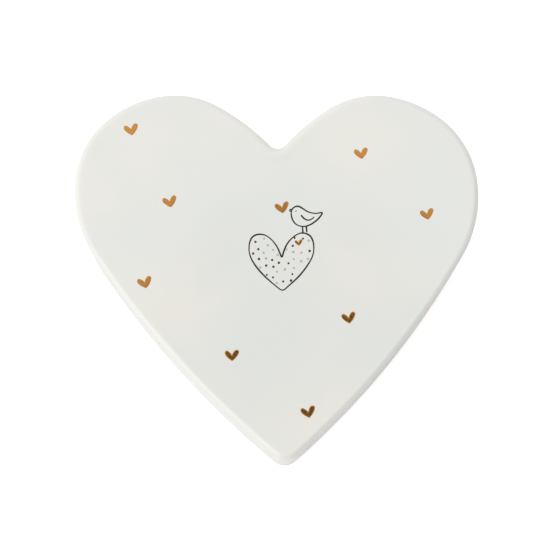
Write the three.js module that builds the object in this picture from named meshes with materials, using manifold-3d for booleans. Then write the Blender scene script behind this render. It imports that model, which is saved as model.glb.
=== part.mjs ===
// A heart-shaped trinket box in white glazed stoneware: a cup, a lift-off lid that stops on its rim and
// centres itself with a ring under it, and the gold and black transfers fired onto the lid.
// Millimetres. +Z is up, +Y points at the lobes and -Y at the tip of the heart.
// The origin is on the table, under the middle of the heart's width and length.

import * as THREE from "three";
import { mergeVertices } from "three/addons/utils/BufferGeometryUtils.js";
import Module from "manifold-3d";

const wasm = await Module();
wasm.setup();

// The outline: each half leaves the notch and runs to the tip as tangent arcs, [radius, degrees turned].
// The two halves were drawn by hand and differ a little. Together they are 120 wide.
const NOTCH = { height: 38.9, radius: 3.1 };
const TIP_RADIUS = 5.1;
const RIGHT = {
  notchTurn: 46.2,
  lobe: [[65.9, 14.9], [25.3, 43.1], [35.8, 26.7], [27.4, 43.7], [35.9, 40.2]],
  flank: 245,
};
const LEFT = {
  notchTurn: 47.1,
  lobe: [[68.6, 16.1], [26.7, 41.9], [34.7, 26.9], [25.8, 45.8], [36.8, 39.0]],
  flank: 277,
};

const CUP_HEIGHT = 39;
const LID_THICKNESS = 6;
const WALL = 4.5;
const FLOOR_TOP = 5.5;
const FLOOR_FILLET = 4;
const CAVITY_TIP_RADIUS = 6;
const FOOT_EDGE_RADIUS = 3;
const FOOT_WIDTH = 6;
const FOOT_RECESS = 1;
const SEAM_RADIUS = 0.8; // the rim of the cup and the lower edge of the lid
const LID_EDGE_RADIUS = 1.8;
const RING_CLEARANCE = 1.25; // between the ring under the lid and the cup's wall
const RING_THICKNESS = 3.5;
const RING_DEPTH = 4.5;
const RING_EDGE_RADIUS = 0.8;
const RING_HOLE_TIP_RADIUS = 3;

// The transfers: gold hearts and a line drawing, a few hundredths of a millimetre proud of the glaze.
const PRINT_THICKNESS = 0.05;
const LINE_WIDTH = 0.48;
const GOLD_HEART_WIDTH = 4.2;
const GOLD_HEARTS = {
  gold_heart_top_left: [-42.8, 44.4],
  gold_heart_left_lobe: [-31.8, 22.5],
  gold_heart_left_flank: [-39.7, -1.4],
  gold_heart_lower_left: [-14.5, -23.6],
  gold_heart_tip: [7.5, -40.9],
  gold_heart_lower_right: [20.2, -13.4],
  gold_heart_right_edge: [44.3, 16.8],
  gold_heart_right_lobe: [25.3, 35.5],
  gold_heart_in_beak: [1.4, 19.9],
};
const SMALL_HEART = { width: 2.3, centre: [6.1, 9.3] };
const DRAWN_HEART = { width: 19.2, centre: [1.0, 3.7] };
const BIRD = { length: 9.6, feet: [7.9, 12.1] };

const ARC_STEPS = 6;
const EDGE_STEPS = 3;
const OVERSHOOT = 10; // how far a cutter runs past the face that it cuts

const radians = THREE.MathUtils.degToRad;

// A point on an arc where the outline's direction is heading. A negative radius makes a hollow arc.
function arcPoint(arc, heading, inset) {
  const radius = arc.radius - inset;
  return new THREE.Vector2(
    arc.x - radius * Math.sin(heading),
    arc.y + radius * Math.cos(heading),
  );
}

// The arcs of one half, drawn as the right-hand one. An inset moves no centre, so it is left out here.
function halfArcs(half) {
  const notch = {
    x: 0,
    y: NOTCH.height + NOTCH.radius,
    radius: -NOTCH.radius,
    start: 0,
    end: radians(half.notchTurn),
  };
  const arcs = [notch];
  let heading = notch.end;
  let pen = arcPoint(notch, heading, 0);
  for (const [radius, sweep] of [...half.lobe, [half.flank, 0]]) {
    const arc = {
      x: pen.x + radius * Math.sin(heading),
      y: pen.y - radius * Math.cos(heading),
      radius,
      start: heading,
      end: heading - radians(sweep),
    };
    arcs.push(arc);
    heading = arc.end;
    pen = arcPoint(arc, heading, 0);
  }
  return arcs;
}

// The centre of the tip's arc, which touches both flanks from inside: it lies where two circles about the
// flanks' centres cross.
function tipCentre(flankA, flankB, inset, tipRadius) {
  const a = new THREE.Vector2(flankA.x, flankA.y);
  const b = new THREE.Vector2(-flankB.x, flankB.y);
  const reachA = flankA.radius - inset - tipRadius;
  const reachB = flankB.radius - inset - tipRadius;
  const apart = a.distanceTo(b);
  const along = (apart ** 2 + reachA ** 2 - reachB ** 2) / (2 * apart);
  const across = Math.sqrt(reachA ** 2 - along ** 2);
  const unit = b.clone().sub(a).normalize();
  const foot = a.clone().addScaledVector(unit, along);
  return foot.add(new THREE.Vector2(unit.y, -unit.x).multiplyScalar(across));
}

// One half's points from the notch to the bottom of the tip, both included.
function halfPoints(half, inset, tipRadius, tip) {
  const arcs = halfArcs(half);
  const flank = arcs.at(-1);
  const toTip = Math.atan2(tip.y - flank.y, tip.x - flank.x);
  flank.end = toTip - Math.PI / 2;
  if (flank.end > flank.start) flank.end -= 2 * Math.PI;
  const tipArc = {
    x: tip.x,
    y: tip.y,
    radius: tipRadius + inset,
    start: flank.end,
    end: -Math.PI,
  };
  const points = [arcPoint(arcs[0], 0, inset)];
  for (const arc of [...arcs, tipArc]) {
    for (let step = 1; step <= ARC_STEPS; step++) {
      const heading = THREE.MathUtils.lerp(arc.start, arc.end, step / ARC_STEPS);
      points.push(arcPoint(arc, heading, inset));
    }
  }
  return points;
}

function rawHeart(inset, tipRadius) {
  const tip = tipCentre(halfArcs(RIGHT).at(-1), halfArcs(LEFT).at(-1), inset, tipRadius);
  const right = halfPoints(RIGHT, inset, tipRadius, tip);
  const mirroredTip = new THREE.Vector2(-tip.x, tip.y);
  const left = halfPoints(LEFT, inset, tipRadius, mirroredTip);
  const back = left
    .slice(1, -1)
    .reverse()
    .map((p) => new THREE.Vector2(-p.x, p.y));
  return [...right, ...back];
}

const MIDDLE = new THREE.Box2().setFromPoints(rawHeart(0, TIP_RADIUS)).getCenter(new THREE.Vector2());

// The heart's outline, parallel to the outside at an inset, about the origin.
function heart(inset = 0, tipRadius = TIP_RADIUS - inset) {
  return rawHeart(inset, tipRadius).map((p) => p.sub(MIDDLE));
}

function solidOf(geometry) {
  const bare = geometry.clone();
  bare.deleteAttribute("normal");
  bare.deleteAttribute("uv");
  const merged = mergeVertices(bare);
  return new wasm.Manifold(
    new wasm.Mesh({
      numProp: 3,
      vertProperties: merged.attributes.position.array,
      triVerts: new Uint32Array(merged.index.array),
    }),
  );
}

function geometryOf(solid) {
  const mesh = solid.getMesh();
  const geometry = new THREE.BufferGeometry();
  geometry.setAttribute("position", new THREE.BufferAttribute(mesh.vertProperties, 3));
  geometry.setIndex(new THREE.BufferAttribute(mesh.triVerts, 1));
  geometry.computeVertexNormals();
  return geometry;
}

// An extrusion turns a hole the right way round only in an outline that runs anticlockwise.
const anticlockwise = (points) => (THREE.ShapeUtils.isClockWise(points) ? [...points].reverse() : points);

// An outline stood up from one height to another, with both of its edges rounded to one radius.
function prism(outline, bottom, top, edge = 0, holes = []) {
  const shape = new THREE.Shape(anticlockwise(outline));
  shape.holes = holes.map((hole) => new THREE.Path(hole));
  const geometry = new THREE.ExtrudeGeometry(shape, {
    depth: top - bottom - 2 * edge,
    bevelEnabled: edge > 0,
    bevelThickness: edge,
    bevelSize: edge,
    bevelOffset: -edge,
    bevelSegments: EDGE_STEPS,
  });
  geometry.translate(0, 0, bottom + edge);
  return solidOf(geometry);
}

// The same with one radius below and another above.
function unevenPrism(outline, bottom, top, lowerEdge, upperEdge) {
  const lower = prism(outline, bottom, top + OVERSHOOT, lowerEdge);
  const upper = prism(outline, bottom - OVERSHOOT, top, upperEdge);
  return lower.intersect(upper);
}

function cup() {
  const body = unevenPrism(heart(), 0, CUP_HEIGHT, FOOT_EDGE_RADIUS, SEAM_RADIUS);
  const cavityOutline = heart(WALL, CAVITY_TIP_RADIUS);
  const cavity = prism(cavityOutline, FLOOR_TOP, CUP_HEIGHT + OVERSHOOT, FLOOR_FILLET);
  const recessInset = FOOT_EDGE_RADIUS + FOOT_WIDTH;
  const recess = prism(heart(recessInset, CAVITY_TIP_RADIUS), -OVERSHOOT, FOOT_RECESS);
  return body.subtract(cavity).subtract(recess);
}

function lid() {
  const top = CUP_HEIGHT + LID_THICKNESS;
  const slab = unevenPrism(heart(), CUP_HEIGHT, top, SEAM_RADIUS, LID_EDGE_RADIUS);
  const ringInset = WALL + RING_CLEARANCE;
  const ringOutline = heart(ringInset, CAVITY_TIP_RADIUS - RING_CLEARANCE);
  const ringHole = heart(ringInset + RING_THICKNESS, RING_HOLE_TIP_RADIUS);
  const intoSlab = CUP_HEIGHT + RING_EDGE_RADIUS + 1;
  const ring = prism(ringOutline, CUP_HEIGHT - RING_DEPTH, intoSlab, RING_EDGE_RADIUS, [ringHole]);
  return slab.add(ring);
}

// A heart that is brushed as two short strokes, the right one the longer. It is as wide as asked.
function brushedHeart(width) {
  const w = width / 2;
  const shape = new THREE.Shape();
  shape.moveTo(0.04 * w, 0);
  shape.bezierCurveTo(0.12 * w, 0.28 * w, 0.28 * w, 0.64 * w, 0.5 * w, 0.76 * w);
  shape.bezierCurveTo(0.7 * w, 0.88 * w, 1.06 * w, 0.78 * w, 1.0 * w, 0.44 * w);
  shape.bezierCurveTo(0.92 * w, 0, 0.5 * w, -0.58 * w, 0.12 * w, -0.84 * w);
  shape.bezierCurveTo(-0.26 * w, -0.64 * w, -0.86 * w, -0.24 * w, -0.97 * w, 0.14 * w);
  shape.bezierCurveTo(-1.04 * w, 0.44 * w, -0.82 * w, 0.66 * w, -0.56 * w, 0.54 * w);
  shape.bezierCurveTo(-0.34 * w, 0.44 * w, -0.08 * w, 0.22 * w, 0.04 * w, 0);
  return shape.getPoints(ARC_STEPS).slice(0, -1);
}

// A plain heart with round lobes, as wide as asked, its middle at the origin.
function plainHeart(width) {
  const w = width / 2;
  const shape = new THREE.Shape();
  shape.moveTo(0, 0.1 * w);
  shape.bezierCurveTo(0.08 * w, 0.5 * w, 0.36 * w, 0.88 * w, 0.66 * w, 0.88 * w);
  shape.bezierCurveTo(1.0 * w, 0.88 * w, 1.08 * w, 0.46 * w, 0.94 * w, 0.12 * w);
  shape.bezierCurveTo(0.78 * w, -0.26 * w, 0.36 * w, -0.62 * w, 0, -0.92 * w);
  shape.bezierCurveTo(-0.36 * w, -0.62 * w, -0.78 * w, -0.26 * w, -0.94 * w, 0.12 * w);
  shape.bezierCurveTo(-1.08 * w, 0.46 * w, -1.0 * w, 0.88 * w, -0.66 * w, 0.88 * w);
  shape.bezierCurveTo(-0.36 * w, 0.88 * w, -0.08 * w, 0.5 * w, 0, 0.1 * w);
  return shape.getPoints(ARC_STEPS).slice(0, -1);
}

const PRINT_BOTTOM = CUP_HEIGHT + LID_THICKNESS;
const PRINT_TOP = PRINT_BOTTOM + PRINT_THICKNESS;

const moved = (points, [x, y]) => points.map((p) => new THREE.Vector2(p.x + x, p.y + y));

// A drawn line of even width along points: a closed one is a band, an open one has square ends.
function drawnLine(points, closed = false) {
  const sides = [1, -1].map((side) =>
    points.map((p, i) => {
      const before = points[closed ? (i + points.length - 1) % points.length : Math.max(i - 1, 0)];
      const after = points[closed ? (i + 1) % points.length : Math.min(i + 1, points.length - 1)];
      const along = after.clone().sub(before).normalize();
      const across = new THREE.Vector2(-along.y, along.x);
      return p.clone().addScaledVector(across, (side * LINE_WIDTH) / 2);
    }),
  );
  if (!closed) return prism([...sides[0], ...sides[1].reverse()], PRINT_BOTTOM, PRINT_TOP);
  const area = (loop) => Math.abs(THREE.ShapeUtils.area(loop));
  const [outer, inner] = sides.sort((a, b) => area(b) - area(a));
  return prism(outer, PRINT_BOTTOM, PRINT_TOP, 0, [inner]);
}

function goldHeart(width, centre) {
  return prism(moved(brushedHeart(width), centre), PRINT_BOTTOM, PRINT_TOP);
}

// The bird is drawn in its own units, ten of them from breast to tail, with the feet at the origin.
const birdUnit = BIRD.length / 10;
const birdPoint = ([x, y]) => new THREE.Vector2(BIRD.feet[0] + x * birdUnit, BIRD.feet[1] + y * birdUnit);

function birdCurve(through, steps, closed = false) {
  const curve = new THREE.SplineCurve(through.map(birdPoint));
  const points = curve.getPoints(steps);
  return closed ? points.slice(0, -1) : points;
}

function birdBody() {
  const outline = birdCurve(
    [
      [-3.9, 6.3], [-3.2, 7.9], [-1.6, 8.4], [-0.1, 7.4], [1.9, 6.2], [4.1, 5.9], [5.8, 6.3],
      [4.7, 4.6], [2.6, 2.9], [0.2, 2.0], [-2.3, 2.5], [-3.7, 4.3], [-3.9, 6.3],
    ],
    48,
    true,
  );
  const beak = new THREE.Shape([[-3.4, 7.9], [-4.9, 7.3], [-3.8, 6.7]].map(birdPoint));
  const legs = [-0.55, 0.65].map((x) => drawnLine([[x, 2.15], [x + 0.1, 0.35]].map(birdPoint)));
  const parts = [prism(beak.getPoints(), PRINT_BOTTOM, PRINT_TOP), ...legs];
  return parts.reduce((whole, part) => whole.add(part), drawnLine(outline, true));
}

const birdWing = () => drawnLine(birdCurve([[-0.9, 5.6], [0.2, 4.2], [1.9, 3.9], [3.1, 4.9]], 14));

function birdEye() {
  const eye = new THREE.Shape();
  const middle = birdPoint([-2.4, 6.7]);
  eye.absarc(middle.x, middle.y, LINE_WIDTH * 0.6, 0, 2 * Math.PI);
  return prism(eye.getPoints(5).slice(0, -1), PRINT_BOTTOM, PRINT_TOP);
}

const glaze = new THREE.MeshStandardMaterial({ color: 0xe9eae3, roughness: 0.15, metalness: 0 });
const gold = new THREE.MeshStandardMaterial({ color: 0xc98d45, roughness: 0.2, metalness: 1 });
const black = new THREE.MeshStandardMaterial({ color: 0x1d1b19, roughness: 0.3, metalness: 0 });

function part(name, solid, material) {
  const mesh = new THREE.Mesh(geometryOf(solid), material);
  mesh.name = name;
  return mesh;
}

const box = new THREE.Group();
box.add(part("cup", cup(), glaze));

const lidGroup = new THREE.Group();
lidGroup.add(part("lid", lid(), glaze));
for (const [name, centre] of Object.entries(GOLD_HEARTS)) {
  lidGroup.add(part(name, goldHeart(GOLD_HEART_WIDTH, centre), gold));
}
lidGroup.add(part("gold_heart_small", goldHeart(SMALL_HEART.width, SMALL_HEART.centre), gold));
const drawnHeart = moved(plainHeart(DRAWN_HEART.width), DRAWN_HEART.centre);
lidGroup.add(part("drawn_heart", drawnLine(drawnHeart, true), black));
lidGroup.add(part("drawn_bird", birdBody(), black));
lidGroup.add(part("drawn_bird_wing", birdWing(), black));
lidGroup.add(part("drawn_bird_eye", birdEye(), black));
box.add(lidGroup);

export default box;
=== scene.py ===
import math
import random

import bmesh
import bpy
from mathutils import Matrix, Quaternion, Vector


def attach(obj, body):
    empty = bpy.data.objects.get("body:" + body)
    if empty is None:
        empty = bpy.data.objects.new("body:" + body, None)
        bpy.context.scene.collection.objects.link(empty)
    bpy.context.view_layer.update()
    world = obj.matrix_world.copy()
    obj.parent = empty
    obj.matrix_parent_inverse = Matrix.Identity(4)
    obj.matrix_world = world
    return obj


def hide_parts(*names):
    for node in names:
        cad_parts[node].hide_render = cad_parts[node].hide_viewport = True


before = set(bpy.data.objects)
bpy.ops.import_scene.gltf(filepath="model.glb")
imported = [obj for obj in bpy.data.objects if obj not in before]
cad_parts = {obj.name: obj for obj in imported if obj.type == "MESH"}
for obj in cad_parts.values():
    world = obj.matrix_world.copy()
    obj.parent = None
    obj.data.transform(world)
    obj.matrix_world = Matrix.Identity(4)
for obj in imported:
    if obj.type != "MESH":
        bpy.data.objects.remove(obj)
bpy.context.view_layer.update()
print("frame loaded:", len(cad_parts), "nodes")

mm = 0.001
random.seed(14)  # the dots and the hand's wobble come out the same every time


# finishes

def hexColour(code):
    # an sRGB hex colour as the linear one that the shader wants
    values = [int(code[place:place + 2], 16) / 255 for place in (0, 2, 4)]
    linear = [value / 12.92 if value <= 0.04045 else ((value + 0.055) / 1.055) ** 2.4 for value in values]
    return (*linear, 1.0)


def addNode(material, kind, settings=None, links=None):
    # adds a node, sets it up, and links or sets its inputs
    node = material.node_tree.nodes.new(kind)
    for name, value in (settings or {}).items():
        setattr(node, name, value)
    for name, value in (links or {}).items():
        if isinstance(value, bpy.types.NodeSocket):
            material.node_tree.links.new(value, node.inputs[name])
        else:
            node.inputs[name].default_value = value
    return node


def blankMaterial(name):
    material = bpy.data.materials.new(name)
    material.use_nodes = True
    material.node_tree.nodes.clear()
    return material


# white earthenware under a clear glossy glaze: a bright, faintly green-grey white, warmer where the glaze
# runs thin over an edge, cooler where it pools, and matt bisque where the piece stood on the kiln shelf
glazeLook = {
    "glaze": "E9EBE7",
    "thin": "EFEDE6",
    "pooled": "DFE4E0",
    "bisque": "E4DCCB",
    "sand": "D8CFBC",
    "speck": "A08C6C",
    "driftSize": 34,  # mm across a patch of slightly different tone
    "driftRange": (0.35, 0.65),
    "ragged": (1.5, 0.25),  # mm across a tongue of the glaze's border, and how far it strays
    "cover": (0.42, 0.62),  # the thickness from bare clay to glaze
    "pool": (1.02, 1.35),  # the thickness from an even coat to a pool
    "speckSize": 9,  # mm between places where a speck may be
    "speckEdge": (0.018, 0.032),  # of that distance
    "bareShare": 0.8,  # of the places have no speck
    "gritSize": 0.4,
    "gritHeight": 0.05,
    "orangePeel": 1.6,  # mm from bump to bump of the glaze's skin
    "peelHeight": 0.004,
    "roughness": 0.09,
    "roughnessDrift": 0.03,
    "bisqueRoughness": 0.85,
}


def glazedEarthenware():
    look = glazeLook
    material = blankMaterial("glazedEarthenware")
    place = addNode(material, "ShaderNodeTexCoord").outputs["Object"]
    coat = addNode(material, "ShaderNodeAttribute", {"attribute_name": "glaze"}).outputs["Fac"]
    tongue, stray = look["ragged"]
    edgeNoise = addNode(material, "ShaderNodeTexNoise", {},
                        {"Vector": place, "Scale": 1 / (tongue * mm), "Detail": 3.0})
    unevenCoat = addNode(material, "ShaderNodeMath", {"operation": "MULTIPLY_ADD"},
                         {0: edgeNoise.outputs["Fac"], 1: stray, 2: coat})
    glazed = addNode(material, "ShaderNodeMapRange", {"interpolation_type": "SMOOTHSTEP"},
                     {"Value": unevenCoat.outputs[0], "From Min": look["cover"][0],
                      "From Max": look["cover"][1]})
    drift = addNode(material, "ShaderNodeTexNoise", {},
                    {"Vector": place, "Scale": 1 / (look["driftSize"] * mm), "Detail": 2.0})
    driftAmount = addNode(material, "ShaderNodeMapRange", {},
                          {"Value": drift.outputs["Fac"], "From Min": look["driftRange"][0],
                           "From Max": look["driftRange"][1]})
    tone = addNode(material, "ShaderNodeMix", {"data_type": "RGBA"},
                   {"Factor": driftAmount.outputs[0], 6: hexColour(look["glaze"]),
                    7: hexColour(look["thin"])})
    pooling = addNode(material, "ShaderNodeMapRange", {},
                      {"Value": coat, "From Min": look["pool"][0], "From Max": look["pool"][1]})
    pooled = addNode(material, "ShaderNodeMix", {"data_type": "RGBA"},
                     {"Factor": pooling.outputs[0], 6: tone.outputs[2], 7: hexColour(look["pooled"])})
    cells = addNode(material, "ShaderNodeTexVoronoi", {},
                    {"Vector": place, "Scale": 1 / (look["speckSize"] * mm), "Randomness": 1.0})
    speckSpot = addNode(material, "ShaderNodeMapRange", {"interpolation_type": "SMOOTHSTEP"},
                        {"Value": cells.outputs["Distance"], "From Min": look["speckEdge"][0],
                         "From Max": look["speckEdge"][1], "To Min": 1.0, "To Max": 0.0})
    chosen = addNode(material, "ShaderNodeSeparateColor", {}, {"Color": cells.outputs["Color"]})
    few = addNode(material, "ShaderNodeMath", {"operation": "GREATER_THAN"},
                  {0: chosen.outputs[0], 1: look["bareShare"]})
    speckAmount = addNode(material, "ShaderNodeMath", {"operation": "MULTIPLY"},
                          {0: speckSpot.outputs[0], 1: few.outputs[0]})
    specked = addNode(material, "ShaderNodeMix", {"data_type": "RGBA"},
                      {"Factor": speckAmount.outputs[0], 6: pooled.outputs[2], 7: hexColour(look["speck"])})
    grit = addNode(material, "ShaderNodeTexNoise", {},
                   {"Vector": place, "Scale": 1 / (look["gritSize"] * mm), "Detail": 4.0})
    body = addNode(material, "ShaderNodeMix", {"data_type": "RGBA"},
                   {"Factor": grit.outputs["Fac"], 6: hexColour(look["bisque"]),
                    7: hexColour(look["sand"])})
    colour = addNode(material, "ShaderNodeMix", {"data_type": "RGBA"},
                     {"Factor": glazed.outputs[0], 6: body.outputs[2], 7: specked.outputs[2]})
    gloss = addNode(material, "ShaderNodeMapRange", {},
                    {"Value": drift.outputs["Fac"], "To Min": look["roughness"] - look["roughnessDrift"],
                     "To Max": look["roughness"] + look["roughnessDrift"]})
    roughness = addNode(material, "ShaderNodeMix", {"data_type": "FLOAT"},
                        {"Factor": glazed.outputs[0], 2: look["bisqueRoughness"], 3: gloss.outputs[0]})
    peel = addNode(material, "ShaderNodeTexNoise", {},
                   {"Vector": place, "Scale": 1 / (look["orangePeel"] * mm), "Detail": 1.0})
    skin = addNode(material, "ShaderNodeBump", {},
                   {"Height": peel.outputs["Fac"], "Distance": look["peelHeight"] * mm, "Strength": 0.6})
    clay = addNode(material, "ShaderNodeBump", {},
                   {"Height": grit.outputs["Fac"], "Distance": look["gritHeight"] * mm, "Strength": 0.7})
    surface = addNode(material, "ShaderNodeMix", {"data_type": "VECTOR"},
                      {"Factor": glazed.outputs[0], 4: clay.outputs[0], 5: skin.outputs[0]})
    shader = addNode(material, "ShaderNodeBsdfPrincipled", {},
                     {"Base Color": colour.outputs[2], "Roughness": roughness.outputs[0],
                      "Normal": surface.outputs[1], "IOR": 1.52})
    addNode(material, "ShaderNodeOutputMaterial", {}, {"Surface": shader.outputs[0]})
    return material


# bright gold lustre, brushed on and fired: a warm mirror with streaks along the stroke, thin and brown at
# its edges
goldLook = {
    "gold": "CE9048",
    "thin": "7C5C32",
    "streakWidth": 0.12,  # mm, the mark of one brush hair
    "streakTurn": 38,  # degrees from the X axis, across the stroke
    "streakStretch": 0.12,  # a streak's width over its length
    "streakDepth": 0.0012,
    "patchSize": 0.9,  # mm across a patch of thicker lustre
    "cover": (0.25, 0.85),  # from thin lustre to full
    "roughness": (0.05, 0.16),
}


def goldLustre():
    look = goldLook
    material = blankMaterial("goldLustre")
    place = addNode(material, "ShaderNodeTexCoord").outputs["Object"]
    along = addNode(material, "ShaderNodeMapping", {},
                    {"Vector": place, "Rotation": (0, 0, math.radians(look["streakTurn"])),
                     "Scale": (look["streakStretch"], 1, 1)})
    streaks = addNode(material, "ShaderNodeTexNoise", {},
                      {"Vector": along.outputs[0], "Scale": 1 / (look["streakWidth"] * mm), "Detail": 2.0})
    patches = addNode(material, "ShaderNodeTexNoise", {},
                      {"Vector": place, "Scale": 1 / (look["patchSize"] * mm), "Detail": 2.0})
    edge = addNode(material, "ShaderNodeAttribute", {"attribute_name": "thickness"}).outputs["Fac"]
    worn = addNode(material, "ShaderNodeMath", {"operation": "MULTIPLY_ADD"},
                   {0: patches.outputs["Fac"], 1: 0.5, 2: edge})
    cover = addNode(material, "ShaderNodeMapRange", {"interpolation_type": "SMOOTHSTEP"},
                    {"Value": worn.outputs[0], "From Min": look["cover"][0], "From Max": look["cover"][1]})
    colour = addNode(material, "ShaderNodeMix", {"data_type": "RGBA"},
                     {"Factor": cover.outputs[0], 6: hexColour(look["thin"]), 7: hexColour(look["gold"])})
    roughness = addNode(material, "ShaderNodeMapRange", {},
                        {"Value": streaks.outputs["Fac"], "From Min": 0.3, "From Max": 0.7,
                         "To Min": look["roughness"][0], "To Max": look["roughness"][1]})
    hairs = addNode(material, "ShaderNodeBump", {},
                    {"Height": streaks.outputs["Fac"], "Distance": look["streakDepth"] * mm,
                     "Strength": 0.5})
    shader = addNode(material, "ShaderNodeBsdfPrincipled", {},
                     {"Base Color": colour.outputs[2], "Metallic": 1.0, "Roughness": roughness.outputs[0],
                      "Normal": hairs.outputs[0]})
    addNode(material, "ShaderNodeOutputMaterial", {}, {"Surface": shader.outputs[0]})
    return material


# screen-printed ceramic colour, fired into the glaze: dense, half gloss, a little grainy where it thins
printLook = {
    "black": ("080706", "1C1A18"),  # dense, thin
    "grey": ("B4B3AB", "C6C5BE"),
    "grainSize": 0.15,
    "grainRange": (0.45, 0.75),
    "roughness": (0.22, 0.4),
    "ior": 1.4,
}


def ceramicPrint(name, dense, thin):
    look = printLook
    material = blankMaterial(name)
    place = addNode(material, "ShaderNodeTexCoord").outputs["Object"]
    grain = addNode(material, "ShaderNodeTexNoise", {},
                    {"Vector": place, "Scale": 1 / (look["grainSize"] * mm), "Detail": 3.0})
    amount = addNode(material, "ShaderNodeMapRange", {},
                     {"Value": grain.outputs["Fac"], "From Min": look["grainRange"][0],
                      "From Max": look["grainRange"][1]})
    colour = addNode(material, "ShaderNodeMix", {"data_type": "RGBA"},
                     {"Factor": amount.outputs[0], 6: hexColour(dense), 7: hexColour(thin)})
    roughness = addNode(material, "ShaderNodeMapRange", {},
                        {"Value": grain.outputs["Fac"], "To Min": look["roughness"][0],
                         "To Max": look["roughness"][1]})
    shader = addNode(material, "ShaderNodeBsdfPrincipled", {},
                     {"Base Color": colour.outputs[2], "Roughness": roughness.outputs[0],
                      "IOR": look["ior"]})
    addNode(material, "ShaderNodeOutputMaterial", {}, {"Surface": shader.outputs[0]})
    return material


earthenware = glazedEarthenware()
gold = goldLustre()
black = ceramicPrint("blackCeramicPrint", *printLook["black"])
grey = ceramicPrint("greyCeramicPrint", *printLook["grey"])
print("finishes mixed")


# the heart's line, shared by the cup and the lid

# Each half leaves the notch and runs to the tip in tangent arcs: (radius, degrees turned), in mm.
# The two halves differ a little, as the drawing on the modeller's board did.
heartDrawing = {
    "notchHeight": 38.9,
    "notchRadius": 3.1,
    "tipRadius": 5.1,
    "right": {"turn": 46.2, "lobe": [(65.9, 14.9), (25.3, 43.1), (35.8, 26.7), (27.4, 43.7), (35.9, 40.2)],
              "flank": 245},
    "left": {"turn": 47.1, "lobe": [(68.6, 16.1), (26.7, 41.9), (34.7, 26.9), (25.8, 45.8), (36.8, 39.0)],
             "flank": 277},
    "spacing": 1.25,  # between points along the line
    "leastSteps": 8,
    "notchSteps": 8,
    "flankSteps": 52,
    "tipSteps": 9,
}


def halfArcs(half):
    # centre x, centre y, radius (hollow arcs are negative), heading in, heading out, steps
    heading = math.radians(half["turn"])
    hollow = heartDrawing["notchRadius"]
    arcs = [[0, heartDrawing["notchHeight"] + hollow, -hollow, 0, heading, heartDrawing["notchSteps"]]]
    for radius, turn in half["lobe"] + [(half["flank"], 0)]:
        x, y, last, start, end, steps = arcs[-1]
        penX = x - last * math.sin(end)
        penY = y + last * math.cos(end)
        turn = math.radians(turn)
        steps = max(heartDrawing["leastSteps"], round(radius * turn / heartDrawing["spacing"]))
        centreX, centreY = penX + radius * math.sin(end), penY - radius * math.cos(end)
        arcs.append([centreX, centreY, radius, end, end - turn, steps])
    arcs[-1][5] = heartDrawing["flankSteps"]
    return arcs


def heartLine(tipRadius):
    # points of the closed line as (x, y, outward x, outward y), clockwise from the notch
    right = halfArcs(heartDrawing["right"])
    left = halfArcs(heartDrawing["left"])
    a = Vector(right[-1][:2])
    b = Vector((-left[-1][0], left[-1][1]))
    reachA = right[-1][2] - tipRadius
    reachB = left[-1][2] - tipRadius
    apart = (b - a).length
    along = (apart ** 2 + reachA ** 2 - reachB ** 2) / (2 * apart)
    unit = (b - a) / apart
    tip = a + unit * along + Vector((unit.y, -unit.x)) * math.sqrt(reachA ** 2 - along ** 2)
    halves = []
    for arcs, tipX in ((right, tip.x), (left, -tip.x)):
        flank = arcs[-1]
        flank[4] = math.atan2(tip.y - flank[1], tipX - flank[0]) - math.pi / 2
        if flank[4] > flank[3]:
            flank[4] -= 2 * math.pi
        arcs.append([tipX, tip.y, tipRadius, flank[4], -math.pi, heartDrawing["tipSteps"]])
        points = []
        for number, (x, y, radius, start, end, steps) in enumerate(arcs):
            for step in range(0 if number == 0 else 1, steps + 1):
                heading = start + (end - start) * step / steps
                outX, outY = -math.sin(heading), math.cos(heading)
                points.append((x + radius * outX, y + radius * outY, outX, outY))
        halves.append(points)
    back = [(-x, y, -outX, outY) for x, y, outX, outY in halves[1][-2:0:-1]]
    return halves[0] + back


outer = heartLine(heartDrawing["tipRadius"])
middleX = (min(p[0] for p in outer) + max(p[0] for p in outer)) / 2
middleY = (min(p[1] for p in outer) + max(p[1] for p in outer)) / 2
widthDrawn = 2 * (max(p[0] for p in outer) - middleX)
print("heart line drawn:", len(outer), "points,", round(widthDrawn, 1), "mm wide")


def ringPoints(tipRadius, inset, height, shrink=1.0):
    # the heart's line at an inset and a height, drawn in towards the middle by shrink
    points = []
    for x, y, outX, outY in heartLine(tipRadius):
        px = (x - outX * inset - middleX) * shrink
        py = (y - outY * inset - middleY) * shrink
        points.append(Vector((px, py, height)))
    return points


# from a section to a fired shell

shellShape = {
    "cornerSteps": 7,
    "guard": 0.3,  # rings this close to a rounding keep its shading off the flat beside it
    "flatStep": 3.0,  # mm between rings on a straight span
    "waveHeight": 0.05,  # how far a wall wanders from true, in mm
    "waveLength": 38.0,
    "crossWave": 0.6,  # the height of the second swell, as a part of the first
    "faceRings": 21,  # on each flat face, from its rim to its middle
    "middleSize": 0.025,  # of the last ring, which is closed over
}


def wave(x, y, z):
    # slow unevenness of a pressed clay wall, in mm: one swell along X and Y, and a lower one across them
    k = 2 * math.pi / shellShape["waveLength"]
    swell = math.sin(k * x + 1.3) * math.cos(0.8 * k * y + 0.4)
    cross = math.sin(0.7 * k * (x + y) + 1.1 * k * z)
    return shellShape["waveHeight"] * (swell + shellShape["crossWave"] * cross)


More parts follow.
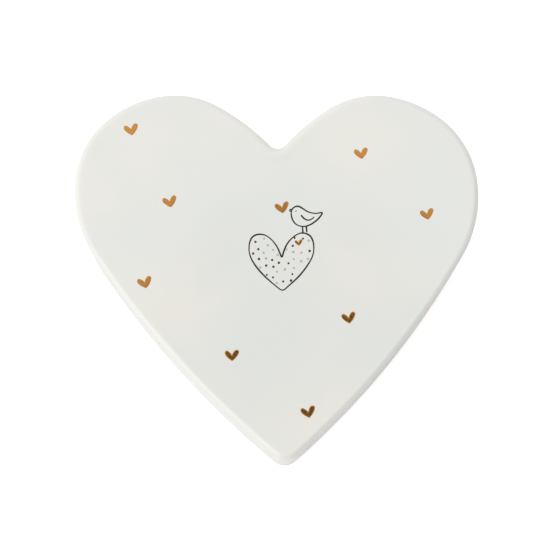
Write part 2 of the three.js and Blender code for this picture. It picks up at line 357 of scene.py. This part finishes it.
def sectionRings(corners):
    # corners of the section as (inset, height, rounding, tip radius at no inset, glaze on the span after)
    rings = []
    count = len(corners)
    for number in range(count):
        inset, height, rounding, tipRadius, glaze = corners[number]
        here = Vector((inset, height))
        if 0 < number < count - 1:
            before = (Vector(corners[number - 1][:2]) - here).normalized()
            after = (Vector(corners[number + 1][:2]) - here).normalized()
            centre = here + (before + after) * rounding
            steps = shellShape["cornerSteps"]
            for step in range(steps + 1):
                turn = math.pi / 2 * step / steps
                spot = centre - after * rounding * math.cos(turn) - before * rounding * math.sin(turn)
                share = step / steps
                was = corners[number - 1][4]
                rings.append((spot.x, spot.y, tipRadius, was + (glaze - was) * share))
        else:
            rings.append((inset, height, tipRadius, glaze))
        if number == count - 1:
            break
        follow = corners[number + 1]
        start = Vector(rings[-1][:2])
        onward = Vector(follow[:2]) - here
        endTrim = follow[2] if number + 1 < count - 1 else 0
        end = Vector(follow[:2]) - onward.normalized() * endTrim
        length = (end - start).length
        guard = min(shellShape["guard"], length / 4)
        pieces = max(1, round((length - 2 * guard) / shellShape["flatStep"]))
        for piece in range(pieces + 1):
            far = guard + (length - 2 * guard) * piece / pieces
            spot = start + (end - start) * far / length
            tip = tipRadius + (follow[3] - tipRadius) * far / length
            rings.append((spot.x, spot.y, tip, glaze))
    return rings


def fireShell(name, body, rings):
    # a ring of points is drawn out into a closed shell, and the glaze's thickness is kept at each point
    bpy.ops.object.select_all(action="DESELECT")
    bpy.ops.mesh.primitive_circle_add(vertices=len(outer), radius=5 * mm, fill_type="NOTHING")
    piece = bpy.context.active_object
    piece.name = name
    bpy.ops.object.mode_set(mode="EDIT")
    bpy.ops.mesh.select_all(action="SELECT")
    mesh = bmesh.from_edit_mesh(piece.data)
    place = mesh.verts.layers.int.new("place")
    mesh.verts.layers.float.new("glaze")
    for number, vert in enumerate(mesh.verts):
        vert[place] = number
    for number, (points, glaze) in enumerate(rings):
        if number:
            bpy.ops.mesh.extrude_region_move()
        mesh = bmesh.from_edit_mesh(piece.data)
        place = mesh.verts.layers.int["place"]
        glazeLayer = mesh.verts.layers.float["glaze"]
        for vert in mesh.verts:
            if vert.select:
                vert.co = points[vert[place]] * mm
                vert[glazeLayer] = glaze
        bmesh.update_edit_mesh(piece.data)
    bpy.ops.mesh.select_all(action="SELECT")
    bpy.ops.mesh.fill_holes(sides=0)
    bpy.ops.mesh.select_all(action="SELECT")
    bpy.ops.mesh.normals_make_consistent(inside=False)
    bpy.ops.object.mode_set(mode="OBJECT")
    bpy.ops.object.shade_smooth()
    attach(piece, body)
    print("shell fired:", name, len(piece.data.polygons), "faces")
    return piece


def shellPoints(tipRadius, inset, height):
    # a ring with the clay's unevenness, always inwards
    points = ringPoints(tipRadius, inset, height)
    line = heartLine(tipRadius)
    for point, (x, y, outX, outY) in zip(points, line):
        nudge = min(0.0, wave(point.x, point.y, height) - 2 * shellShape["waveHeight"])
        point.x += outX * nudge
        point.y += outY * nudge
    return points


def flatRings(tipRadius, inset, height, glaze, inward, surface=None):
    # rings that fill a flat face, from its rim to the middle, or from the middle outwards
    count = shellShape["faceRings"]
    rings = []
    for number in range(1, count + 1):
        shrink = 1 - (1 - shellShape["middleSize"]) * number / count
        points = ringPoints(tipRadius, inset, height, shrink)
        if surface:
            for point in points:
                point.z = surface(point.x, point.y)
        rings.append((points, glaze))
    return rings if inward else rings[::-1]


def shellRings(corners, lastGlaze=1, lastSurface=None):
    # all rings of a shell, from the middle of its first flat face to the middle of its last
    section = sectionRings(corners)
    first, last = section[0], section[-1]
    rings = flatRings(first[2], first[0], first[1], 1, inward=False)
    for inset, height, tipRadius, glaze in section:
        rings.append((shellPoints(tipRadius, inset, height), glaze))
    return rings + flatRings(last[2], last[0], last[1], lastGlaze, inward=True, surface=lastSurface)


# the lid

lidShape = {
    "top": 45.0,
    "underside": 39.08,  # a hair above the rim, so that the seam shows
    "edge": 1.8,
    "lowerEdge": 0.8,
    "dip": 0.12,  # the middle of the top sits this far below its edge, as a drying slab does
    "dipReach": (60, 52),  # mm from the middle of the dip to its end, along X and Y
    "dipMiddle": -3,
    "topWave": 0.7,  # of the wall's unevenness
    "printDepth": 0.01,  # mm that a print's foot sits in the glaze
    "ringOutside": 5.75,
    "ringInside": 9.25,
    "ringFoot": 34.5,
    "ringEdge": 0.8,
    "ringFillet": 0.6,
    "ringTip": 10.5,  # tip radii at no inset, so that the tip is still round at the ring
    "ringHoleTip": 12.25,
    "edgeMargin": 0.6,
    "undersideMargin": 2.5,
}
outerTip = heartDrawing["tipRadius"]


def lidTop(x, y):
    # height of the lid's upper face in mm, where it is flat to the eye
    reachX, reachY = lidShape["dipReach"]
    reach = min(1.0, math.hypot(x / reachX, (y - lidShape["dipMiddle"]) / reachY))
    dip = lidShape["dip"] * (1 - reach ** 2) ** 2
    return lidShape["top"] - dip + lidShape["topWave"] * wave(x, y, 0) * (1 - reach ** 4)


def lidCorners():
    # the lid's section, from the middle of its underside round the ring to its top
    shape = lidShape
    return [
        (shape["ringInside"] + shape["undersideMargin"], shape["underside"], 0, shape["ringHoleTip"], 1),
        (shape["ringInside"], shape["underside"], shape["ringFillet"], shape["ringHoleTip"], 1),
        (shape["ringInside"], shape["ringFoot"], shape["ringEdge"], shape["ringHoleTip"], 0),
        (shape["ringOutside"], shape["ringFoot"], shape["ringEdge"], shape["ringTip"], 0.4),
        (shape["ringOutside"], shape["underside"], shape["ringFillet"], shape["ringTip"], 0),
        (0, shape["underside"], shape["lowerEdge"], outerTip, 1),
        (0, shape["top"], shape["edge"], outerTip, 1),
        (shape["edge"] + shape["edgeMargin"], shape["top"], 0, outerTip, 1),
    ]


lid = fireShell("glazedLid", "lid", shellRings(lidCorners(), lastSurface=lidTop))
lid.data.materials.append(earthenware)
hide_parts("lid")


# the cup

cupShape = {
    "rim": 39.0,
    "rimEdge": 0.8,
    "wall": 4.5,
    "floor": 5.5,
    "floorFillet": 4.0,
    "footEdge": 3.0,
    "footInside": 9.0,
    "recess": 1.0,
    "recessEdge": 0.35,
    "recessTip": 15.0,
    "cavityTip": 10.5,
    "margin": 2.0,  # of flat face past a corner, before the rings close in
    "floorGlaze": 1.1,
}


def cupCorners():
    # the cup's section, from the middle of its recess round the foot and over the rim to its floor
    shape = cupShape
    recessTip, cavityTip = shape["recessTip"], shape["cavityTip"]
    floorInset = shape["wall"] + shape["floorFillet"] + shape["margin"]
    return [
        (shape["footInside"] + shape["margin"], shape["recess"], 0, recessTip, 1),
        (shape["footInside"], shape["recess"], shape["recessEdge"], recessTip, 0),
        (shape["footInside"], 0, shape["recessEdge"], recessTip, 0),
        (0, 0, shape["footEdge"], outerTip, 1),
        (0, shape["rim"], shape["rimEdge"], outerTip, 0.2),
        (shape["wall"], shape["rim"], shape["rimEdge"], cavityTip, 1),
        (shape["wall"], shape["floor"], shape["floorFillet"], cavityTip, 1.3),
        (floorInset, shape["floor"], 0, cavityTip, shape["floorGlaze"]),
    ]


cup = fireShell("glazedCup", "cup", shellRings(cupCorners(), lastGlaze=cupShape["floorGlaze"]))
cup.data.materials.append(earthenware)
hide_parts("cup")


# gold hearts, brushed on the lid

goldShape = {
    "width": 4.2,
    "thickness": 0.05,
    "softEdge": 0.14,  # the lustre thins over this much of its border
    "flatEdge": 0.1,  # a second ring that keeps the border's slope off the flat middle
    "steps": 9,
    "sharpAngle": 40,  # degrees past which an edge is left sharp
    # place of the middle, turn in degrees, size
    "places": {
        "gold_heart_top_left": (-42.8, 44.4, 2, 1.0),
        "gold_heart_left_lobe": (-31.8, 22.5, 4, 1.0),
        "gold_heart_left_flank": (-39.7, -1.4, 6, 1.02),
        "gold_heart_lower_left": (-14.5, -23.6, -6, 1.0),
        "gold_heart_tip": (7.5, -40.9, 4, 1.04),
        "gold_heart_lower_right": (20.2, -13.4, 2, 1.0),
        "gold_heart_right_edge": (44.3, 16.8, 3, 0.97),
        "gold_heart_right_lobe": (25.3, 35.5, 0, 0.97),
        "gold_heart_in_beak": (1.4, 19.9, 2, 1.0),
        "gold_heart_small": (6.1, 9.3, 0, 0.55),
    },
}


def bezierPoints(start, curves, steps):
    # points along bezier curves, each given as its two handles and its end
    points = []
    for handleA, handleB, end in curves:
        for step in range(steps):
            t = step / steps
            weights = ((1 - t) ** 3, 3 * t * (1 - t) ** 2, 3 * t * t * (1 - t), t ** 3)
            knots = (start, handleA, handleB, end)
            points.append(Vector((sum(w * k[0] for w, k in zip(weights, knots)),
                                  sum(w * k[1] for w, k in zip(weights, knots)))))
        start = end
    return points


def brushedHeart(width):
    # two short strokes that meet at the foot, the right one the longer
    line = bezierPoints((0.04, 0), [
        ((0.12, 0.28), (0.28, 0.64), (0.50, 0.76)),
        ((0.70, 0.88), (1.06, 0.78), (1.00, 0.44)),
        ((0.92, 0.00), (0.50, -0.58), (0.12, -0.84)),
        ((-0.26, -0.64), (-0.86, -0.24), (-0.97, 0.14)),
        ((-1.04, 0.44), (-0.82, 0.66), (-0.56, 0.54)),
        ((-0.34, 0.44), (-0.08, 0.22), (0.04, 0)),
    ], goldShape["steps"])
    return [point * width / 2 for point in reversed(line)]  # anticlockwise, so that its face looks up


def layPrint(piece):
    # a print made on a flat board comes down onto the lid's own surface, its foot just inside the glaze
    for vert in piece.data.vertices:
        vert.co.z += (lidTop(vert.co.x / mm, vert.co.y / mm) - lidShape["printDepth"]) * mm


sheer = 0.6  # the share of a print's thickness that rises straight, before its border slopes


def raisePrint(thickness, softEdge, flatEdge=None):
    # a flat outline, the active object, is raised into a print with a sloping border, all in mm
    bpy.ops.object.mode_set(mode="EDIT")
    bpy.ops.mesh.select_all(action="SELECT")
    bpy.ops.mesh.extrude_region_move(TRANSFORM_OT_translate={"value": (0, 0, thickness * sheer * mm)})
    bpy.ops.mesh.inset(thickness=softEdge * mm, depth=thickness * (1 - sheer) * mm)
    if flatEdge:
        bpy.ops.mesh.inset(thickness=flatEdge * mm)
    bpy.ops.mesh.select_all(action="SELECT")
    bpy.ops.mesh.normals_make_consistent(inside=False)
    bpy.ops.object.mode_set(mode="OBJECT")


def markThickness(piece, middle, border):
    # how thick the lustre lies, on the flat middle and on the border
    highest = max(vert.co.z for vert in piece.data.vertices)
    thickness = piece.data.attributes.new("thickness", "FLOAT", "POINT")
    for number, vert in enumerate(piece.data.vertices):
        thickness.data[number].value = middle if vert.co.z > highest - 0.001 * mm else border


def brushHeart(name, x, y, turn, size):
    line = brushedHeart(goldShape["width"] * size)
    bpy.ops.object.select_all(action="DESELECT")
    bpy.ops.mesh.primitive_circle_add(vertices=len(line), radius=mm, fill_type="NGON")
    piece = bpy.context.active_object
    piece.name = name
    for vert, point in zip(piece.data.vertices, line):
        vert.co = (point.x * mm, point.y * mm, 0)
    raisePrint(goldShape["thickness"], goldShape["softEdge"] * size, goldShape["flatEdge"] * size)
    markThickness(piece, 1.0, 0.0)
    bpy.ops.transform.rotate(value=-math.radians(turn), orient_axis="Z", center_override=(0, 0, 0))
    bpy.ops.transform.translate(value=(x * mm, y * mm, 0))
    bpy.ops.object.transform_apply(location=True, rotation=True, scale=True)
    layPrint(piece)
    bpy.ops.object.shade_smooth_by_angle(angle=math.radians(goldShape["sharpAngle"]))
    piece.data.materials.append(gold)
    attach(piece, "lid")
    return piece


for name, (x, y, turn, size) in goldShape["places"].items():
    heart = brushHeart(name + "_lustre", x, y, turn, size)
    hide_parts(name)
print("gold hearts brushed:", len(goldShape["places"]))


# the line drawing in the middle of the lid

lineShape = {
    "width": 0.48,
    "relief": 0.05,  # how proud the fired line stands
    "heartWidth": 19.2,
    "heartPlace": (1.0, 3.7),
    "heartSteps": 6,  # pen points on each of its six curves
    "birdFeet": (7.9, 12.1),
    "birdUnit": 0.96,
    "weld": 0.0005,
    "wobble": 0.05,  # mm that the hand strays
    "wobblePace": 1.7,  # radians from one point of a line to the next
    "pressure": 0.16,  # how much the stroke's width varies
    "pressurePace": 0.9,
}


def drawnLine(name, points, closed=False, wander=1.0):
    # a pen line through points: a curve with a round nib, pressed flat onto the lid
    bpy.ops.object.select_all(action="DESELECT")
    bpy.ops.curve.primitive_nurbs_path_add()
    curve = bpy.context.active_object
    curve.name = name
    curve.data.splines.clear()
    spline = curve.data.splines.new("NURBS")
    spline.points.add(len(points) - 1)
    phase = random.uniform(0, 6)
    for number, (spot, point) in enumerate(zip(spline.points, points)):
        stray = lineShape["wobble"] * wander * math.sin(lineShape["wobblePace"] * number + phase)
        spot.co = ((point[0] + stray) * mm, (point[1] - stray * 0.6) * mm, 0, 1)
        spot.radius = 1 + lineShape["pressure"] * math.sin(lineShape["pressurePace"] * number + phase)
    spline.use_cyclic_u = closed
    spline.use_endpoint_u = not closed
    spline.order_u = 3
    spline.resolution_u = 5
    curve.data.dimensions = "3D"
    curve.data.bevel_depth = lineShape["width"] / 2 * mm
    curve.data.bevel_resolution = 2
    curve.data.use_fill_caps = True
    bpy.ops.object.convert(target="MESH")
    line = bpy.context.active_object
    flat = lineShape["relief"] / (lineShape["width"] / 2)
    bpy.ops.transform.resize(value=(1, 1, flat), center_override=(0, 0, 0))
    bpy.ops.object.transform_apply(location=True, rotation=True, scale=True)
    return line


def finishDrawing(name, lines, nodes):
    # the lines of one drawing become one piece, laid on the lid
    bpy.ops.object.select_all(action="DESELECT")
    for line in lines:
        line.select_set(True)
    bpy.context.view_layer.objects.active = lines[0]
    if len(lines) > 1:
        bpy.ops.object.join()
    piece = bpy.context.active_object
    piece.name = name
    piece.data.name = name
    bpy.ops.object.mode_set(mode="EDIT")
    bpy.ops.mesh.select_all(action="SELECT")
    bpy.ops.mesh.remove_doubles(threshold=lineShape["weld"] * mm)
    bpy.ops.mesh.normals_make_consistent(inside=False)
    bpy.ops.object.mode_set(mode="OBJECT")
    layPrint(piece)
    bpy.ops.object.shade_smooth()
    piece.data.materials.clear()
    piece.data.materials.append(black)
    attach(piece, "lid")
    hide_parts(*nodes)
    return piece


def plainHeart(width, steps):
    line = bezierPoints((0, 0.10), [
        ((0.08, 0.50), (0.36, 0.88), (0.66, 0.88)),
        ((1.00, 0.88), (1.08, 0.46), (0.94, 0.12)),
        ((0.78, -0.26), (0.36, -0.62), (0, -0.92)),
        ((-0.36, -0.62), (-0.78, -0.26), (-0.94, 0.12)),
        ((-1.08, 0.46), (-1.00, 0.88), (-0.66, 0.88)),
        ((-0.36, 0.88), (-0.08, 0.50), (0, 0.10)),
    ], steps)
    return [point * width / 2 for point in line]


heartX, heartY = lineShape["heartPlace"]
heartPoints = plainHeart(lineShape["heartWidth"], lineShape["heartSteps"])
heartLoop = [(p.x + heartX, p.y + heartY) for p in heartPoints]
heartStroke = drawnLine("heartStroke", heartLoop, closed=True)
finishDrawing("drawnHeartLine", [heartStroke], ["drawn_heart"])


def birdPoints(points):
    # the bird is drawn in its own units from its feet
    unit = lineShape["birdUnit"]
    footX, footY = lineShape["birdFeet"]
    return [(footX + x * unit, footY + y * unit) for x, y in points]


birdBody = [(-3.9, 6.3), (-3.75, 7.2), (-3.2, 7.95), (-2.4, 8.35), (-1.5, 8.35), (-0.6, 7.85), (0.6, 6.9),
            (2.2, 6.15), (4.1, 5.9), (5.9, 6.4), (5.3, 5.3), (4.2, 4.0), (2.6, 2.85), (0.9, 2.1), (-0.9, 2.0),
            (-2.4, 2.6), (-3.4, 3.8), (-3.85, 5.1)]
bodyLine = drawnLine("bodyStroke", birdPoints(birdBody), closed=True, wander=0.5)
beakLine = drawnLine("beakStroke", birdPoints([(-3.7, 7.5), (-4.9, 7.2), (-3.85, 6.7)]), wander=0)
legLines = [drawnLine("legStroke", birdPoints([(x, 2.1), (x + 0.08, 1.0), (x + 0.1, 0.15)]), wander=0.3)
            for x in (-0.55, 0.65)]
finishDrawing("drawnBirdLine", [bodyLine, beakLine, *legLines], ["drawn_bird"])
wingPoints = birdPoints([(-0.9, 5.6), (-0.3, 4.7), (0.9, 3.9), (2.2, 4.0), (3.1, 4.9)])
wingStroke = drawnLine("wingStroke", wingPoints)
finishDrawing("drawnWingLine", [wingStroke], ["drawn_bird_wing"])
eyeStroke = drawnLine("eyeStroke", birdPoints([(-2.52, 6.88), (-2.4, 6.82), (-2.28, 6.76)]), wander=0)
finishDrawing("drawnEyeDot", [eyeStroke], ["drawn_bird_eye"])
print("drawing printed")


# dots inside the drawn heart

dotShape = {
    "count": 36,
    "sizes": (0.62, 0.84),
    "gap": 1.8,  # least distance between dots, in mm
    "border": 0.9,
    "heartGap": 1.7,  # least distance from the middle of the small gold heart
    "tries": 4000,
    "sides": 10,
    "softEdge": 0.12,
    "thickness": 0.04,
    "lustre": 0.15,  # a dot's gold is set thin all over, so it shows brown: painted dark reflection
}


def insideLine(x, y, line):
    inside = False
    for number, (x1, y1) in enumerate(line):
        x2, y2 = line[number - 1]
        if (y1 > y) != (y2 > y) and x < (x2 - x1) * (y - y1) / (y2 - y1) + x1:
            inside = not inside
    return inside


def dotPlaces():
    places = []
    inner = plainHeart(lineShape["heartWidth"] - 2 * dotShape["border"], lineShape["heartSteps"])
    small = [(p.x + heartX, p.y + heartY) for p in inner]
    heartAt = goldShape["places"]["gold_heart_small"]
    for attempt in range(dotShape["tries"]):
        x = heartX + random.uniform(-0.5, 0.5) * lineShape["heartWidth"]
        y = heartY + random.uniform(-0.5, 0.5) * lineShape["heartWidth"]
        free = all(math.hypot(x - a, y - b) > dotShape["gap"] for a, b in places)
        far = math.hypot(x - heartAt[0], y - heartAt[1])
        if free and insideLine(x, y, small) and far > dotShape["heartGap"]:
            places.append((x, y))
    return places[:dotShape["count"]]


def stampDots(name, places, material):
    # one dot is modelled, and each of the others is a copy of it with its own mesh
    bpy.ops.object.select_all(action="DESELECT")
    bpy.ops.mesh.primitive_circle_add(vertices=dotShape["sides"], radius=mm / 2, fill_type="NGON")
    first = bpy.context.active_object
    first.name = name
    raisePrint(dotShape["thickness"], dotShape["softEdge"])
    # the dots' gold is made thin and brown here: painted dark reflection
    markThickness(first, dotShape["lustre"], 0.0)
    dots = []
    for x, y in places:
        bpy.ops.object.select_all(action="DESELECT")
        first.select_set(True)
        bpy.context.view_layer.objects.active = first
        bpy.ops.object.duplicate(linked=False)
        size = random.uniform(*dotShape["sizes"])
        bpy.ops.transform.resize(value=(size, size, 1), center_override=(0, 0, 0))
        bpy.ops.transform.translate(value=(x * mm, y * mm, 0))
        bpy.ops.object.transform_apply(location=True, rotation=True, scale=True)
        dots.append(bpy.context.active_object)
    bpy.data.objects.remove(first)
    bpy.ops.object.select_all(action="DESELECT")
    for dot in dots:
        dot.select_set(True)
    bpy.context.view_layer.objects.active = dots[0]
    bpy.ops.object.join()
    piece = bpy.context.active_object
    piece.name = name
    layPrint(piece)
    piece.data.materials.append(material)
    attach(piece, "lid")
    return piece


places = dotPlaces()
stampDots("goldDots", places[::2], gold)
stampDots("greyDots", places[1::2], grey)
print("dots stamped:", len(places))


# the camera and the studio

cameraSetting = {
    "target": (-0.39, -0.97, 45.0),
    "azimuth": -3.0,
    "elevation": 83.6,
    "distance": 800.0,
    "roll": 1.51,
    "lens": 175.7,
}


def placeCamera():
    azimuth = math.radians(cameraSetting["azimuth"])
    elevation = math.radians(cameraSetting["elevation"])
    back = Vector((math.sin(azimuth) * math.cos(elevation), -math.cos(azimuth) * math.cos(elevation),
                   math.sin(elevation)))
    place = (Vector(cameraSetting["target"]) + back * cameraSetting["distance"]) * mm
    bpy.ops.object.camera_add(location=place)
    camera = bpy.context.active_object
    camera.name = "studioCamera"
    camera.rotation_mode = "QUATERNION"
    aim = (-back).to_track_quat("-Z", "Y")
    camera.rotation_quaternion = Quaternion(back, math.radians(cameraSetting["roll"])) @ aim
    camera.data.lens = cameraSetting["lens"]
    camera.data.sensor_width = 36
    camera.data.clip_start = 0.01
    camera.data.clip_end = 50
    bpy.context.scene.camera = camera


placeCamera()
print("camera placed")

studio = {
    "sky": 1.01,
    "skyColour": "FFFFFF",
    "darkSide": (0.8, -0.6, 0),  # the tent is open towards this side
    "darkness": 0.69,  # what is lost there, near the horizon
    "hatch": (0.0105, 0.0785, 0.9969),  # towards the camera's dark hatch in the tent's roof
    "hatchLight": 0.09,  # what comes from the hatch, as a part of the tent's own light
    "hatchAngle": (2.7, 3.7),  # degrees from its middle to where the hatch starts to fade and ends
    "keyPower": 3.8,
    "keyPlace": (-0.95, -0.7, 0.95),
    "keySize": 0.9,
    "floorColour": "F3F3F2",
    "tableSize": 12,
    "tableDrop": 0.0002,  # metres that the table lies under the box, clear of its foot
    "tableGlow": 0.05,  # from the light under the table
    "whiteOut": 0.4,  # added where the camera sees the table, so that it is white round the box
    "backdrop": "D4D5D6",  # the paper that the camera sees behind the table and past its lit middle
    "litMiddle": (0.12, 0.34),  # metres from the box to where the table starts to fade and is all paper
}


def lightSky():
    world = bpy.data.worlds.new("studioTent")
    bpy.context.scene.world = world
    world.use_nodes = True
    world.node_tree.nodes.clear()
    direction = addNode(world, "ShaderNodeTexCoord").outputs["Generated"]
    towards = addNode(world, "ShaderNodeVectorMath", {"operation": "DOT_PRODUCT"},
                      {0: direction, 1: studio["darkSide"]})
    sides = addNode(world, "ShaderNodeMapRange", {},
                    {"Value": towards.outputs["Value"], "To Min": 1.0, "To Max": 1 - studio["darkness"]})
    upwards = addNode(world, "ShaderNodeVectorMath", {"operation": "DOT_PRODUCT"},
                      {0: direction, 1: studio["hatch"]})
    full, fade = (math.cos(math.radians(angle)) for angle in studio["hatchAngle"])
    shade = addNode(world, "ShaderNodeMapRange", {"interpolation_type": "SMOOTHSTEP"},
                    {"Value": upwards.outputs["Value"], "From Min": fade, "From Max": full,
                     "To Min": 1.0, "To Max": studio["hatchLight"]})
    both = addNode(world, "ShaderNodeMath", {"operation": "MULTIPLY"},
                   {0: sides.outputs[0], 1: shade.outputs[0]})
    strength = addNode(world, "ShaderNodeMath", {"operation": "MULTIPLY"},
                       {0: both.outputs[0], 1: studio["sky"]})
    sky = addNode(world, "ShaderNodeBackground", {},
                  {"Color": hexColour(studio["skyColour"]), "Strength": strength.outputs[0]})
    paper = addNode(world, "ShaderNodeBackground", {}, {"Color": hexColour(studio["backdrop"])})
    ray = addNode(world, "ShaderNodeLightPath")
    seen = addNode(world, "ShaderNodeMixShader", {},
                   {0: ray.outputs["Is Camera Ray"], 1: sky.outputs[0], 2: paper.outputs[0]})
    addNode(world, "ShaderNodeOutputWorld", {}, {"Surface": seen.outputs[0]})


def lightKey():
    place = Vector(studio["keyPlace"])
    bpy.ops.object.light_add(type="AREA", location=place)
    key = bpy.context.active_object
    key.name = "softboxLeft"
    key.rotation_euler = (-place).to_track_quat("-Z", "Y").to_euler()
    key.data.size = studio["keySize"]
    key.data.energy = studio["keyPower"]


def layFloor():
    # a pale acrylic table that the camera sees lit from below; from underneath it lets the view through
    bpy.ops.mesh.primitive_plane_add(size=studio["tableSize"], location=(0, 0, -studio["tableDrop"]))
    floor = bpy.context.active_object
    floor.name = "studioTable"
    material = blankMaterial("paleAcrylicTable")
    ray = addNode(material, "ShaderNodeLightPath")
    glow = addNode(material, "ShaderNodeMath", {"operation": "MULTIPLY_ADD"},
                   {0: ray.outputs["Is Camera Ray"], 1: studio["whiteOut"], 2: studio["tableGlow"]})
    shader = addNode(material, "ShaderNodeBsdfPrincipled", {},
                     {"Base Color": hexColour(studio["floorColour"]), "Roughness": 0.6,
                      "Emission Color": (1, 1, 1, 1), "Emission Strength": glow.outputs[0]})
    place = addNode(material, "ShaderNodeTexCoord").outputs["Object"]
    away = addNode(material, "ShaderNodeVectorMath", {"operation": "LENGTH"}, {0: place})
    fadeStart, fadeEnd = studio["litMiddle"]
    far = addNode(material, "ShaderNodeMapRange", {"interpolation_type": "SMOOTHSTEP"},
                  {"Value": away.outputs["Value"], "From Min": fadeStart, "From Max": fadeEnd})
    share = addNode(material, "ShaderNodeMath", {"operation": "MULTIPLY"},
                    {0: ray.outputs["Is Camera Ray"], 1: far.outputs[0]})
    paper = addNode(material, "ShaderNodeEmission", {}, {"Color": hexColour(studio["backdrop"])})
    table = addNode(material, "ShaderNodeMixShader", {},
                    {0: share.outputs[0], 1: shader.outputs[0], 2: paper.outputs[0]})
    clear = addNode(material, "ShaderNodeBsdfTransparent")
    facing = addNode(material, "ShaderNodeNewGeometry")
    either = addNode(material, "ShaderNodeMixShader", {},
                     {0: facing.outputs["Backfacing"], 1: table.outputs[0], 2: clear.outputs[0]})
    addNode(material, "ShaderNodeOutputMaterial", {}, {"Surface": either.outputs[0]})
    floor.data.materials.append(material)


lightSky()
lightKey()
layFloor()
bpy.context.scene.view_settings.view_transform = "Standard"
print("studio lit")
